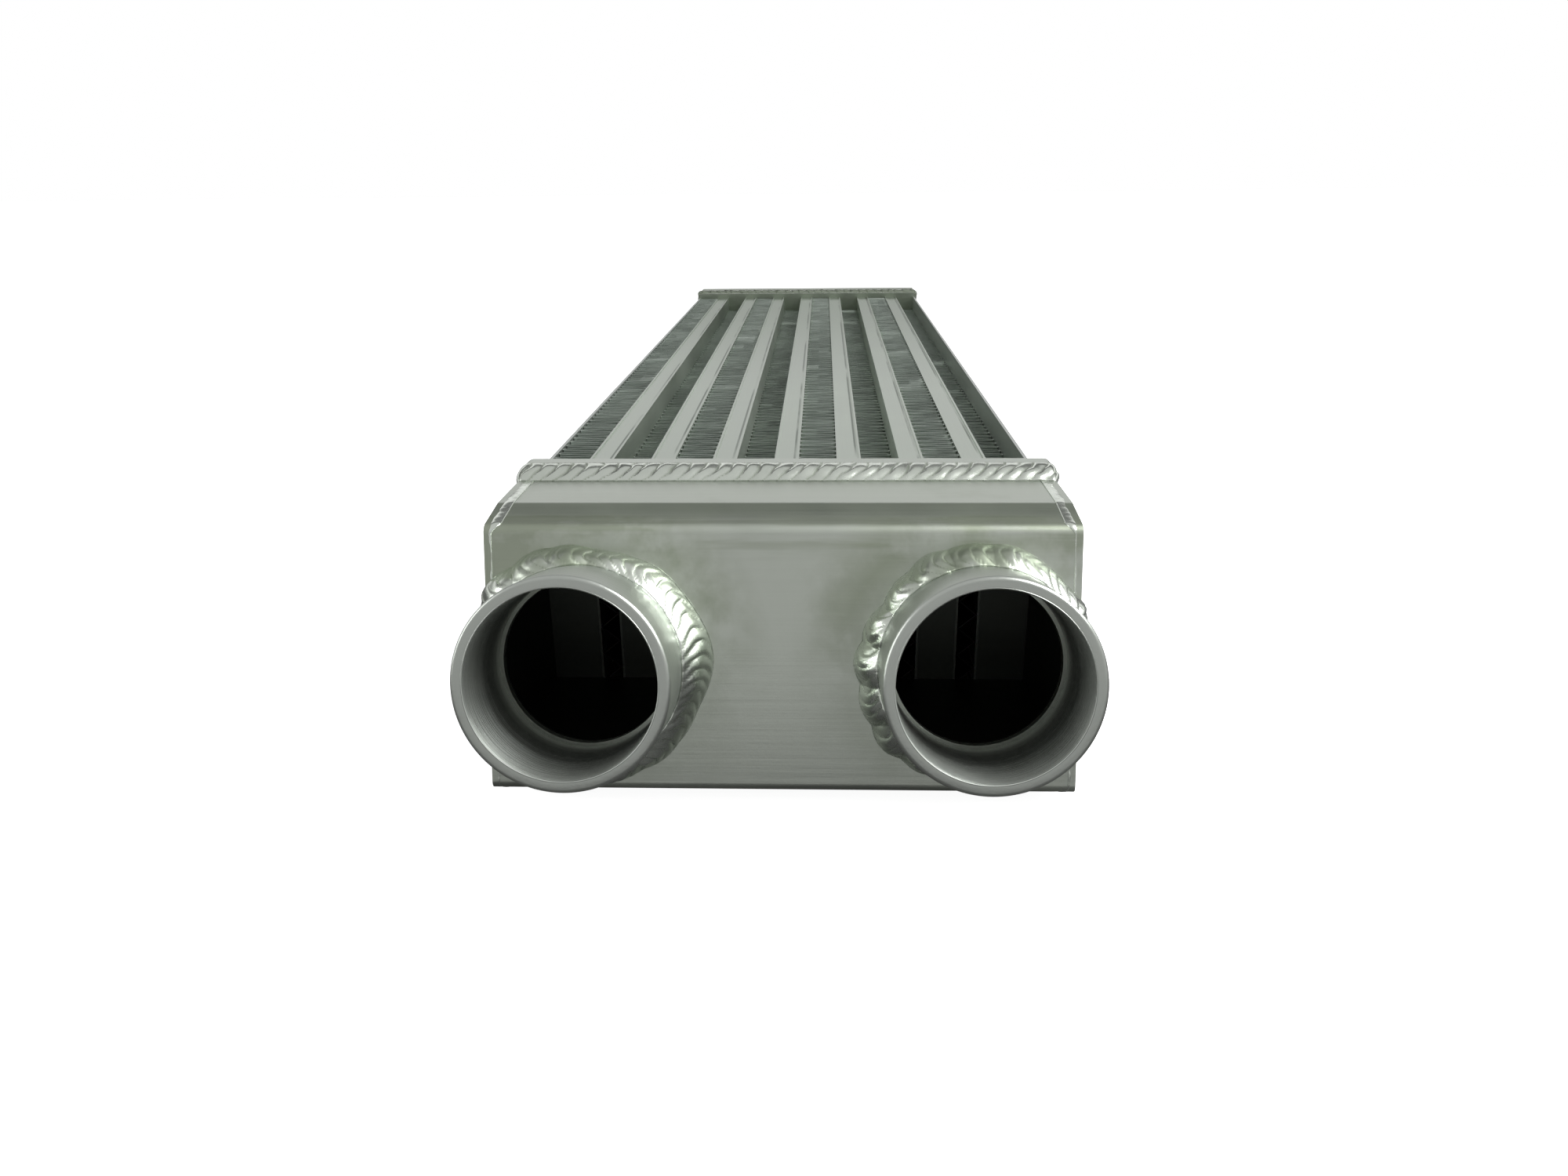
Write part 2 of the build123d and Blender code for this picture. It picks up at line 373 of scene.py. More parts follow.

# %% [markdown]
# ### Heat and painted shade on the front face
# Welding the pipes on left a dull olive ring round each foot. The face is also smudged,
# darkened at its left end by painted shade, and streaked under the fold along its top. Each
# could have a colour of its own, but they change the metal in the same way, so their masks are
# added up into one.

# %% Marks and painted shade on the front face
heat_start = -286.0 * mm
heat_full = -292.0 * mm
heat_radius = 43.0 * mm
heat_reach = 17.0 * mm
upper_start = -10.0 * mm
upper_full = 25.0 * mm
lower_share = 0.3
left_shade_start = -35.0 * mm
left_shade_full = -80.0 * mm
fold_start = 76.0 * mm
fold_full = 87.0 * mm
streak_lines = (14, 160, 160)
smudge_share = 0.22
left_shade_share = 0.45
streak_share = 0.7


def heat_rings(place, x, rise):
    """A cloudy ring round the foot of each pipe."""
    across = abs(x) - pipe_x
    away = (rise * rise + across * across).calc("SQRT") - heat_radius
    near = (1.0 - abs(away) / heat_reach).calc("MAXIMUM", 0.0)
    return near * patches(place, scale=55.0, detail=4.0, low=0.32, high=0.62)


def front_marks_and_shade(place):
    """The rings, the smudges, the painted shade on the left end and the streaks, as one mask."""
    x, y, z = xyz(place)
    rise = (z - pipe_height) / math.cos(face_tilt)
    front = ramp(y, heat_start, heat_full)
    upper = ramp(rise, upper_start, upper_full)
    rings = heat_rings(place, x, rise) * front * blend(upper, lower_share, 1.0)
    smudge = patches(place, scale=30.0, detail=6.0, low=0.55, high=0.75)
    # Painted shade: the upper part of the face's left end is darkened.
    left = ramp(x, left_shade_start, left_shade_full) * front * upper
    streak = patches(stretched(place, streak_lines), scale=1.0, detail=3.0, low=0.38, high=0.62)
    fold = ramp(z, fold_start, fold_full) * front * streak
    marks = rings + smudge * smudge_share + left * left_shade_share + fold * streak_share
    return marks.calc("MINIMUM", 1.0)


print("heat reaches", round((heat_radius + heat_reach) / mm), "mm from each pipe's axis")

# %% [markdown]
# ### The dark slope
# Between the land and the front face the sheet slopes down, and it mirrors something dark.
# The sky at the end of this script has a dark beam for that. A beam that was dark enough
# alone would darken the welds as well, so the slope's own colour is darkened too, most at its
# upper edge.

# %% The slope, and all wear and painted shade of the tank's sheet
slope_back = -278.8 * mm
slope_front = -296.7 * mm
slope_low = 87.0 * mm
slope_edge = 1.0 * mm
slope_shift = 4.0 * mm
slope_loss = (0.46, 0.43, 0.49)
marks_and_shade_loss = (0.33, 0.31, 0.38)
marks_rough = 0.08


def on_slope(place):
    """One on the upper part of the slope, fading down it, and zero on the rest."""
    _, y, z = xyz(place)
    return (
        ramp(y, slope_back, slope_back - slope_edge)
        * ramp(y, slope_front - slope_shift, slope_back - slope_shift)
        * ramp(z, slope_low, slope_low + slope_edge)
    )


def tank_marks_and_shade(place, colour, rough):
    """Marked in front, shaded at the left end, dark on the slope as a painted reflection, and with
    painted shade at the far end and inside.
    """
    marks = front_marks_and_shade(place)
    colour = faded(colour, marks, marks_and_shade_loss)
    colour = faded(colour, on_slope(place), slope_loss)
    colour = painted_far_shade(place, colour, sheet_far_shade)
    return painted_inside_shade(place, colour, rough + marks * marks_rough, tank_inside_shade)


print("slope:", round((slope_back - slope_front) / mm, 1), "mm deep")

# %% [markdown]
# ### Smoke and painted shade on the welds
# A weld bead is bright on its ripples, and painted shade darkens the grooves between them; on
# each ring one stretch is smoky. The grooves could be found from the shape, but the node tree
# that raises the ripples knows them already, and it keeps them on the points for the metal.

# %% Wear and painted shade of the welds
groove_shade_share = 0.75
clouds_share = 0.2
weld_marks_and_shade_loss = (0.56, 0.53, 0.60)
weld_rough = 0.2


def weld_smoke_and_shade(place, colour, rough):
    """Painted shade in the grooves and at the far end; dark and dull in a few clouds and where
    smoke has settled.
    """
    grooves = ramp(kept_value(place.tree, "groove"), 0.5, 1.0)
    clouds = patches(place, scale=45.0, detail=3.0, low=0.45, high=0.75)
    broken = patches(place, scale=60.0, detail=3.0, low=0.22, high=0.46)
    smoke = kept_value(place.tree, "smoke") * broken
    mask = (grooves * groove_shade_share + clouds * clouds_share + smoke).calc("MINIMUM", 1.0)
    colour = faded(colour, mask, weld_marks_and_shade_loss)
    colour = painted_far_shade(place, colour, weld_far_shade)
    return colour, rough + mask * weld_rough, 0.0


print("a groove keeps", [round(1 - groove_shade_share * loss, 2) for loss in weld_marks_and_shade_loss], "of its light")

# %% [markdown]
# ### Fins and flat tubes
# A fin strip's walls are darkened by painted shade, while its cut edge keeps its bright colour.
# The edge could be a piece of its own, but it is enough to ask which way a face looks. A flat
# tube has a faint broken line along one edge of its nose. The tubes stand at an even pitch, so
# one wrapped coordinate draws the line on all of them.

# %% Painted shade on the fins, and the line and painted shade of the flat tubes
cut_facing = (0.5, 0.9)
fin_wall_shade_loss = (0.30, 0.26, 0.29)
line_place = (tube_high.x - tube_low.x) / 2 - 1.6 * mm
line_half = 0.5 * mm
line_breaks = (90, 12, 90)
line_loss = (0.62, 0.60, 0.62)


def fin_wall_shade(place, colour, rough):
    """Painted shade on the walls; the cut edges, which face up or down, keep their colour."""
    facing = add(place.tree, "ShaderNodeNewGeometry", {}, output="True Normal")
    wall = 1.0 - ramp(abs(xyz(facing)[2]), *cut_facing)
    return faded(colour, wall, fin_wall_shade_loss), rough, 0.0


def tube_line_and_shade(place, colour, rough):
    """A broken line along one edge, with painted shade at the far end and inside the tank."""
    x = xyz(place)[0]
    from_middle = x.calc("WRAP", tube_pitch / 2, -tube_pitch / 2)
    line = ramp(abs(from_middle - line_place), line_half, line_half / 2)
    broken = patches(stretched(place, line_breaks), scale=1.0, detail=3.0, low=0.38, high=0.60)
    colour = faded(colour, line * broken, line_loss)
    colour = painted_far_shade(place, colour, tube_far_shade)
    return painted_inside_shade(place, colour, rough, tube_inside_shade)


print("broken line:", round(line_place / mm, 2), "mm from each tube's middle")

# %% [markdown]
# ### Lathe rings
# A pipe was turned, so fine rings run round it, deeper in its bore. A noise in the object's
# axes would cut across them, because the pipes are tilted. So each pipe keeps the height
# along its own axis on its points, and a noise of that one number makes the rings.

# %% Wear and painted shade of the pipes
ring_scale = 1800.0
ring_loss = (0.12, 0.11, 0.12)
ring_rough = 0.10
ring_height = 0.2
bore_shade_loss = (0.5, 0.5, 0.5)
bore_rough = 0.14
bore_height = 3.2
bore_shade_start = 0.9 * pipe_length
bore_shade_full = 0.2 * pipe_length


def pipe_rings_and_shade(place, colour, rough):
    """Fine rings round a pipe, deeper in its bore, which gets painted shade towards the tank."""
    height = kept_value(place.tree, "height")
    bore = kept_value(place.tree, "bore")
    inputs = {"W": height, "Scale": ring_scale, "Detail": 2.0}
    line = add(place.tree, "ShaderNodeTexNoise", inputs, noise_dimensions="1D")
    dark = ramp(line, 0.35, 0.75)
    # Painted shade deep in the bore, towards the tank.
    deep_shade = bore * ramp(height, bore_shade_start, bore_shade_full)
    colour = faded(colour, dark, ring_loss)
    colour = faded(colour, deep_shade, bore_shade_loss)
    rough = rough + bore * bore_rough + dark * ring_rough
    return colour, rough, line * (bore * bore_height + ring_height)


print("lathe rings about", round(1 / ring_scale / mm, 2), "mm apart")

# %% [markdown]
# ### All metals
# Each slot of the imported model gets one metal. Its shade is nearly grey, with a little more
# green than red or blue, as in the photograph. The tubes and side sheets have long lines
# along Y, the tanks and headers along X, and the fin strips along Z.

# %% Metals of all slots
metals = {
    "tank_wall": metal(
        "satin tank sheet", (0.60, 0.64, 0.575), roughness=0.36, lines=(12, 500, 500),
        line_depth=0.25, blotch=0.14, wear_and_shade=tank_marks_and_shade,
    ),
    "header_plate": metal(
        "header plate", (0.60, 0.64, 0.58), roughness=0.34, lines=(12, 400, 400),
        line_depth=0.25, wear_and_shade=header_painted_shade,
    ),
    "tube_nose": metal(
        "rolled tube bar", (0.60, 0.65, 0.585), roughness=0.38, lines=(700, 9, 700),
        line_depth=0.30, blotch=0.18, wear_and_shade=tube_line_and_shade,
    ),
    "cooling_fin": metal(
        "fin strip", (0.78, 0.82, 0.78), roughness=0.42, lines=(300, 300, 20),
        line_depth=0.2, wear_and_shade=fin_wall_shade,
    ),
    # The inner fins and the tank's inner wall are near black, as painted shade for the dark
    # inside.
    "inner_fin": metal(
        "inner fin strip", (0.02, 0.02, 0.02), roughness=0.5, lines=(300, 20, 300), line_depth=0.2
    ),
    "side_sheet": metal(
        "side sheet", (0.58, 0.61, 0.58), roughness=0.36, lines=(500, 9, 500), line_depth=0.25
    ),
    "tank_inner": metal(
        "dull inner wall", (0.03, 0.03, 0.03), roughness=0.6, lines=(300, 300, 300), line_depth=0.2
    ),
    "pipe": metal(
        "pipe", (0.55, 0.58, 0.54), roughness=0.34, lines=(60, 60, 60), line_depth=0.7,
        wear_and_shade=pipe_rings_and_shade,
    ),
    "weld_bead": metal(
        "weld bead", (0.79, 0.84, 0.765), roughness=0.23, lines=(500, 500, 500),
        line_depth=0.15, wear_and_shade=weld_smoke_and_shade,
    ),
}
for part in frame["record"]["subparts"]:
    solid = frame["nodes"][part["node"]]
    solid.data.materials.clear()
    solid.data.materials.append(metals[part["material_slot"]])
print("metals:", len(metals))

# %% [markdown]
# ## From points to a finished piece
# A piece is a mesh whose points already lie in the object's frame, so it needs no turn or
# move of its own. One helper makes it from rows of points and another keeps values on them.
# The last one rides it on the body and lets it stand for its solids.

# %% Piece helpers


def mesh_piece(name, points, faces, slot):
    """A smooth-shaded object from points in metres."""
    mesh = bpy.data.meshes.new(name)
    mesh.from_pydata([tuple(p) for p in points], [], faces)
    work = bmesh.new()
    work.from_mesh(mesh)
    bmesh.ops.recalc_face_normals(work, faces=work.faces)
    work.to_mesh(mesh)
    work.free()
    mesh.polygons.foreach_set("use_smooth", [True] * len(mesh.polygons))
    mesh.materials.append(metals[slot])
    return new_object(name, mesh)


def loft_faces(rows, across, closed_rows, closed_across):
    """The faces between rows of points, each row with the same number of points."""
    faces = []
    for i in range(rows if closed_rows else rows - 1):
        for j in range(across if closed_across else across - 1):
            a = i * across + j
            b = i * across + (j + 1) % across
            c = ((i + 1) % rows) * across + (j + 1) % across
            d = ((i + 1) % rows) * across + j
            faces.append((a, b, c, d))
    return faces


def keep_values(piece, **lists):
    """Keeps lists of numbers under their names, one number for each point."""
    for name, values in lists.items():
        piece.data.attributes.new(name, "FLOAT", "POINT").data.foreach_set("value", values)


def settle(piece, slot, *nodes):
    """Rides a finished piece on the one body and lets it stand for its solids."""
    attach(piece, "root")
    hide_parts(*nodes)
    print(piece.name, "faces:", len(piece.data.polygons))


print("slots for pieces:", sorted(metals))

# %% [markdown]
# ### Geometry Nodes in a script
# What repeats or follows a path is made by a Geometry Nodes tree. It has named inputs for its
# sizes, and it ends in Realize Instances and Set Material, because an export drops instances.
# Two helpers open and close a tree, and another runs it over a piece and keeps a plain mesh.

# %% Tree helpers


def open_tree(name, numbers, counts=()):
    """A tree with a mesh, the named inputs and a finish coming in, and a mesh going out."""
    tree = bpy.data.node_groups.new(name, "GeometryNodeTree")
    face = tree.interface
    face.new_socket("Geometry", in_out="INPUT", socket_type="NodeSocketGeometry")
    for number in numbers:
        face.new_socket(number, in_out="INPUT", socket_type="NodeSocketFloat")
    for count in counts:
        face.new_socket(count, in_out="INPUT", socket_type="NodeSocketInt")
    face.new_socket("Finish", in_out="INPUT", socket_type="NodeSocketMaterial")
    face.new_socket("Geometry", in_out="OUTPUT", socket_type="NodeSocketGeometry")
    given = tree.nodes.new("NodeGroupInput").outputs
    return tree, {output.name: Value(output) for output in given}


def close_tree(tree, shape, finish):
    """Ends a tree: the shape made real, given its finish and sent out."""
    real = add(tree, "GeometryNodeRealizeInstances", {"Geometry": shape})
    done = add(tree, "GeometryNodeSetMaterial", {"Geometry": real, "Material": finish})
    fill(tree.nodes.new("NodeGroupOutput").inputs[0], done)
    inputs = [item.name for item in tree.interface.items_tree if item.in_out == "INPUT"]
    print(tree.name, "takes", inputs)


def moved(shape, shift):
    """The shape with each of its points shifted."""
    return add(shape.tree, "GeometryNodeSetPosition", {"Geometry": shape, "Offset": shift})


def seeded_noise(place, seed, scale, detail):
    """A noise value around a half, which another seed changes."""
    inputs = {"Vector": place, "W": seed, "Scale": scale, "Detail": detail}
    return add(place.tree, "ShaderNodeTexNoise", inputs, noise_dimensions="4D")


def run_tree(piece, tree, values):
    """Runs a tree over the piece and keeps the result as its mesh."""
    modifier = piece.modifiers.new(tree.name, "NODES")
    modifier.node_group = tree
    for item in tree.interface.items_tree:
        if item.in_out == "INPUT" and item.name in values:
            modifier[item.identifier] = values[item.name]
    bpy.context.view_layer.update()
    depsgraph = bpy.context.evaluated_depsgraph_get()
    mesh = bpy.data.meshes.new_from_object(piece.evaluated_get(depsgraph))
    piece.modifiers.remove(modifier)
    piece.data = mesh


print("tree helpers:", [helper.__name__ for helper in (open_tree, close_tree, run_tree)])

# %% [markdown]
# ## The folded fins
# A fin row is one thin strip, folded to and fro until it fills the gap between two tubes. It
# could all be drawn in mesh code, but its folds are alike. So one fold is drawn, and a tree
# repeats it down the row, joins the folds, and bends their edges a little at random, as
# handling does on the real core. A few places are bent further.

# %% A tree that repeats one fold
merge_gap = 0.02 * mm
bend_scale = 140.0
nick_scale = 45.0
nick_limit = 0.66


def fin_tree():
    """Repeats a fold along Y, joins the folds and bends their upper and lower edges."""
    tree, given = open_tree(
        "folded row",
        ("Period", "Bend", "Nick", "Seed", "Low Edge", "High Edge", "Edge Depth"),
        counts=("Count",),
    )
    step = add(tree, "ShaderNodeCombineXYZ", {"Y": given["Period"]})
    line = add(tree, "GeometryNodeMeshLine", {"Count": given["Count"], "Offset": step})
    repeat = {"Points": line, "Instance": given["Geometry"]}
    folds = add(tree, "GeometryNodeInstanceOnPoints", repeat)
    folds = add(tree, "GeometryNodeRealizeInstances", {"Geometry": folds})
    whole = add(tree, "GeometryNodeMergeByDistance", {"Geometry": folds, "Distance": merge_gap})
    place = add(tree, "GeometryNodeInputPosition", {})
    z = xyz(place)[2]
    above = (z - given["High Edge"]) / given["Edge Depth"]
    below = (given["Low Edge"] - z) / given["Edge Depth"]
    near = (above.calc("MAXIMUM", below) + 1.0).calc("MAXIMUM", 0.0)
    wobble = seeded_noise(place, given["Seed"], bend_scale, detail=1.0) - 0.5
    nick = seeded_noise(place, given["Seed"], nick_scale, detail=0.0) - nick_limit
    push = wobble * given["Bend"] + nick.calc("MAXIMUM", 0.0) * given["Nick"]
    shift = add(tree, "ShaderNodeCombineXYZ", {"Y": push * near})
    close_tree(tree, moved(whole, shift), given["Finish"])
    return tree


folded_row = fin_tree()

# %% [markdown]
# ### One fold
# From above, the sheet's middle line runs like a wave with square shoulders. A sine pushed
# through a tanh has just that shape. The sheet's two skins lie half a thickness to each side
# of that line.

# %% One fold
fin_period = 6.4 * mm
fin_sheet = 0.22 * mm
fold_points = 16
fold_squareness = 2.6
edge_depth = 5.0 * mm
small_share = 0.001


def fold_line(share, half):
    """The middle line of the folded sheet, a share of the way through one period."""
    wave = math.tanh(fold_squareness * math.sin(2 * math.pi * share))
    return Vector((half * wave / math.tanh(fold_squareness), share * fin_period, 0))


def fold_mesh(name, x, half, start, low, high):
    """One period of folded sheet between two heights, as a closed strip with open ends."""
    levels = [low, low + edge_depth, high - edge_depth, high - edge_depth / 2, high]
    points = []
    for i in range(fold_points + 1):
        share = i / fold_points
        ahead = fold_line(share + small_share, half) - fold_line(share - small_share, half)
        side = Vector((ahead.y, -ahead.x, 0)).normalized() * fin_sheet / 2
        middle = fold_line(share, half) + Vector((x, start, 0))
        points += [middle + side + Vector((0, 0, z)) for z in levels]
        points += [middle - side + Vector((0, 0, z)) for z in reversed(levels)]
    faces = loft_faces(fold_points + 1, 2 * len(levels), False, True)
    fold = mesh_piece(name, points, faces, "cooling_fin")
    fold.data.polygons.foreach_set("use_smooth", [False] * len(fold.data.polygons))
    return fold


print("a fold turns every", round(fin_period / 2 / mm, 1), "mm")

# %% Fin rows
edge_bend = 1.0 * mm
nick_bend = 5.0 * mm
fin_rows = sum(node.startswith("fin_row_") for node in frame["nodes"])
for i in range(1, fin_rows + 1):
    low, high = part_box(f"fin_row_{i}")
    count = round((high.y - low.y) / fin_period)
    start = (low.y + high.y - count * fin_period) / 2
    half = (high.x - low.x - fin_sheet) / 2
    fin = fold_mesh(f"fins_{i}", (low.x + high.x) / 2, half, start, low.z, high.z)
    sizes = {
        "Period": fin_period,
        "Count": count,
        "Bend": edge_bend,
        "Nick": nick_bend,
        "Seed": float(i),
        "Low Edge": low.z,
        "High Edge": high.z,
        "Edge Depth": edge_depth,
        "Finish": metals["cooling_fin"],
    }
    run_tree(fin, folded_row, sizes)
    settle(fin, "cooling_fin", f"fin_row_{i}")

# %% [markdown]
# ## The pipes
# A pipe is a short round tube with a rounded rim. A cylinder with a bevel would do for the
# shape, but here the wall's section goes once round the axis. That keeps the rows in order,
# so each point can keep its height and say whether it lies in the bore.

# %% A pipe's section and axis
pipe_outer = 31.75 * mm
pipe_inner = 28.0 * mm
pipe_foot = Vector((0, face_at_pipe, pipe_height))
pipe_axis = Vector((0, -math.cos(face_tilt), math.sin(face_tilt)))
pipe_up = Vector((0, math.sin(face_tilt), math.cos(face_tilt)))
pipe_right = Vector((1, 0, 0))
foot_depth = 0.5 * mm
outer_edge = 1.3 * mm
inner_edge = 0.5 * mm
edge_steps = 6


def on_pipe(side, turn, radius, height):
    """A point round a pipe: a turn from +X towards the top, a radius and a height."""
    centre = pipe_foot + Vector((side * pipe_x, 0, 0))
    spoke = math.cos(turn) * pipe_right + math.sin(turn) * pipe_up
    return centre + spoke * radius + pipe_axis * height


def pipe_section():
    """(radius, height) points round the wall, with two rounded edges at the rim."""
    section = [(pipe_outer, -foot_depth), (pipe_outer, pipe_length / 2)]
    for wall, edge, sign in ((pipe_outer, outer_edge, -1), (pipe_inner, inner_edge, 1)):
        arc = []
        for step in range(edge_steps + 1):
            turn = math.pi / 2 * step / edge_steps
            radius = wall + sign * edge * (1 - math.cos(turn))
            arc.append((radius, pipe_length - edge * (1 - math.sin(turn))))
        section += arc if sign < 0 else arc[::-1]
    return section + [(pipe_inner, pipe_length / 2), (pipe_inner, -foot_depth)]


print("points round a pipe's wall:", len(pipe_section()))

# %% Pipes
pipe_segments = 160


def turned_pipe(name, side):
    """The section turned once round the pipe's axis."""
    section = pipe_section()
    points = []
    for i in range(pipe_segments):
        turn = 2 * math.pi * i / pipe_segments
        points += [on_pipe(side, turn, radius, height) for radius, height in section]
    faces = loft_faces(pipe_segments, len(section), True, True)
    piece = mesh_piece(name, points, faces, "pipe")
    heights = [height for _, height in section]
    bore = [float(radius < pipe_inner + inner_edge) for radius, _ in section]
    keep_values(piece, height=heights * pipe_segments, bore=bore * pipe_segments)
    return piece


for name, side in (("inlet", -1), ("outlet", 1)):
    settle(turned_pipe(f"{name}_tube", side), "pipe", f"{name}_pipe")

# %% [markdown]
# ## Weld beads
# A bead is laid as a row of small overlapping puddles, which freeze one after another and
# leave crescent ripples. A bump in the metal would look flat along the outline, so the
# ripples are real shape. Each bead starts as a smooth strip that keeps three values on its
# points: how far along the bead a point lies, how far across it, and whether it shows. One
# tree then raises ripples and broader lumps on any strip, and keeps the grooves between the
# ripples for the metal.

# %% A tree that raises ripples
wander_scale = 90.0
lump_scale = 130.0
ridge_skew = 0.6
ridge_middle = 0.4


def ripple_tree():
    """Raises leaning crescent ripples along a strip's own normals."""
    tree, given = open_tree(
        "weld ripples", ("Pitch", "Height", "Lump", "Lean", "Bow", "Wander", "Soot", "Seed")
    )
    along, across, shown = (
        add(tree, "GeometryNodeInputNamedAttribute", {"Name": name}, data_type="FLOAT")
        for name in ("along", "across", "shown")
    )
    place = add(tree, "GeometryNodeInputPosition", {})
    uneven = seeded_noise(place, given["Seed"], wander_scale, detail=2.0)
    coarse = seeded_noise(place, given["Seed"], lump_scale, detail=0.0)
    square = across * across
    swing = (uneven - 0.5) * given["Wander"]
    bend = square * given["Bow"] + across * given["Lean"]
    phase = along / given["Pitch"] + swing + bend
    ridge = (phase.calc("FRACT").calc("POWER", ridge_skew) * math.pi).calc("SINE")
    # How much painted shade each groove between the ripples gets.
    groove = (1.0 - ridge) * given["Soot"]
    marks = {"Geometry": given["Geometry"], "Name": "groove", "Value": groove}
    marked = add(tree, "GeometryNodeStoreNamedAttribute", marks, data_type="FLOAT")
    rise = (ridge - ridge_middle) * given["Height"] * (uneven + 0.5)
    lump = (coarse - 0.5) * given["Lump"]
    to_toes = 1.0 - square * square
    normal = add(tree, "GeometryNodeInputNormal", {})
    shift = scaled(normal, (rise + lump) * to_toes * shown)
    close_tree(tree, moved(marked, shift), given["Finish"])
    return tree


weld_ripples = ripple_tree()

# %% Strips that carry the ripples
bead_across = 17
bead_shares = [j / (bead_across - 1) for j in range(bead_across)]


def bead(name, rows, closed, buried):
    """A strip through rows of surface points, closed underneath through a buried point each."""
    points = []
    along = []
    travelled = 0.0
    middle = bead_across // 2
    for i, row in enumerate(rows):
        if i:
            travelled += (row[middle] - rows[i - 1][middle]).length
        points += row + [buried[i]]
        along += [travelled] * (bead_across + 1)
    faces = loft_faces(len(rows), bead_across + 1, closed, True)
    if closed:
        travelled += (rows[0][middle] - rows[-1][middle]).length
    else:
        last = (len(rows) - 1) * (bead_across + 1)
        faces += [tuple(range(bead_across + 1)), tuple(last + j for j in range(bead_across + 1))]
    across = [2 * s - 1 for s in bead_shares] + [0.0]
    shown = [1.0] * bead_across + [0.0]
    piece = mesh_piece(name, points, faces, "weld_bead")
    keep_values(piece, along=along, across=across * len(rows), shown=shown * len(rows))
    return piece, travelled


def ripple(piece, length, pitch, **values):
    """Raises a whole number of ripples along a bead."""
    shapes = {"Lean": 0.0, "Bow": 0.5, "Soot": 1.0}
    shapes.update(values)
    shapes["Pitch"] = length / round(length / pitch)
    shapes["Finish"] = metals["weld_bead"]
    run_tree(piece, weld_ripples, shapes)


print("a strip has", bead_across, "points across")

# %% [markdown]
# ### Seam beads
# The header and the tank are joined by a bead that runs all round. A curve with a round
# profile could follow the seam, but the bead is a flat one. Its two toes are rounded
# rectangles, one on the header's edge and one on the tank, and it swells between them. A
# corner gets more rows than its length needs, to keep it smooth.

# %% A bead between two rounded rectangles
seam_step = 0.5 * mm
seam_lowest = 0.7 * mm
seam_depth = 2.0 * mm
corner_extra = 6.0 * mm


def rounded_frame(share, y, half_width, low, high, radius):
    """A point a share of the way round a rounded rectangle, and the way out from it."""
    wide = 2 * (half_width - radius)
    tall = high - low - 2 * radius
    arc = math.pi / 2
    weights = [wide, arc * radius + corner_extra, tall, arc * radius + corner_extra] * 2
    spot = share * sum(weights)
    corner_x = half_width - radius
    corners = [
        (corner_x, high - radius), (corner_x, low + radius),
        (-corner_x, low + radius), (-corner_x, high - radius),
    ]
    for leg, weight in enumerate(weights):
        if spot <= weight or leg == len(weights) - 1:
            break
        spot -= weight
    along = spot / weights[leg]
    quarter = leg // 2
    turn = math.pi / 2 - quarter * arc
    before = corners[quarter - 1]
    after = corners[quarter]
    if leg % 2:
        turn -= along * arc
        before = after
    x = before[0] + (after[0] - before[0]) * along + radius * math.cos(turn)
    z = before[1] + (after[1] - before[1]) * along + radius * math.sin(turn)
    return Vector((x, y, z)), Vector((math.cos(turn), 0, math.sin(turn)))


def between(first, last, share):
    """A rounded rectangle a share of the way from the first toe to the last."""
    return {key: first[key] + (last[key] - first[key]) * share for key in first}


def seam_bead(name, first, last, swell):
    """A closed bead from the first toe to the last."""
    length = 4 * first["half_width"] + 2 * (first["high"] - first["low"])
    count = round(length / seam_step)
    rows = []
    buried = []
    for i in range(count):
        row = []
        for s in bead_shares:
            point, out = rounded_frame(i / count, **between(first, last, s))
            point += out * swell * math.sin(math.pi * s)
            point.z = max(point.z, seam_lowest)
            row.append(point)
        rows.append(row)
        point, out = rounded_frame(i / count, **between(first, last, 0.5))
        buried.append(point - out * seam_depth)
    return bead(name, rows, True, buried)


print("a row about every", seam_step / mm, "mm")

# %% The front seam
header_toe = {
    "y": header_front + 0.3 * mm, "half_width": 95.0 * mm,
    "low": 0.05 * mm, "high": 95.0 * mm, "radius": 3.0 * mm,
}
tank_toe = {
    "y": header_front - 12.0 * mm, "half_width": 93.6 * mm,
    "low": 3.4 * mm, "high": 91.6 * mm, "radius": 1.5 * mm,
}
piece, length = seam_bead("front_seam_bead", header_toe, tank_toe, swell=1.1 * mm)
ripple(
    piece, length, pitch=5.2 * mm, Lean=0.32, Bow=0.35, Seed=1.0, Height=0.55 * mm, Lump=1.0 * mm,
    Wander=1.3,
)
settle(piece, "weld_bead", "front_seam_weld")

# %% The rear seam
rear_low, rear_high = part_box("rear_seam_weld")
rear_inset = 2.0 * mm
rear_header_toe = {
    "y": rear_low.y, "half_width": rear_high.x - rear_inset,
    "low": rear_low.z + rear_inset, "high": rear_high.z - rear_inset, "radius": 2.0 * mm,
}
rear_tank_toe = {**rear_header_toe, "y": rear_high.y}
piece, length = seam_bead("rear_seam_bead", rear_header_toe, rear_tank_toe, swell=1.6 * mm)
ripple(
    piece, length, pitch=6.0 * mm, Lean=0.7, Bow=0.4, Seed=2.0, Height=0.45 * mm, Lump=1.0 * mm,
    Wander=2.0,
)
settle(piece, "weld_bead", "rear_seam_weld")

# %% [markdown]
# ### Ring beads round the pipes
# Each pipe is welded all round its foot. A torus would be too even: the real bead is a
# fillet, laid by hand in uneven lobes, with one toe on the tank and the other climbing the
# pipe. So its reach and its lobes are worked out for each turn round the pipe. It is slimmer
# at the top and towards the other pipe, and at the outer side, where the tank ends, it only
# hangs on the pipe.

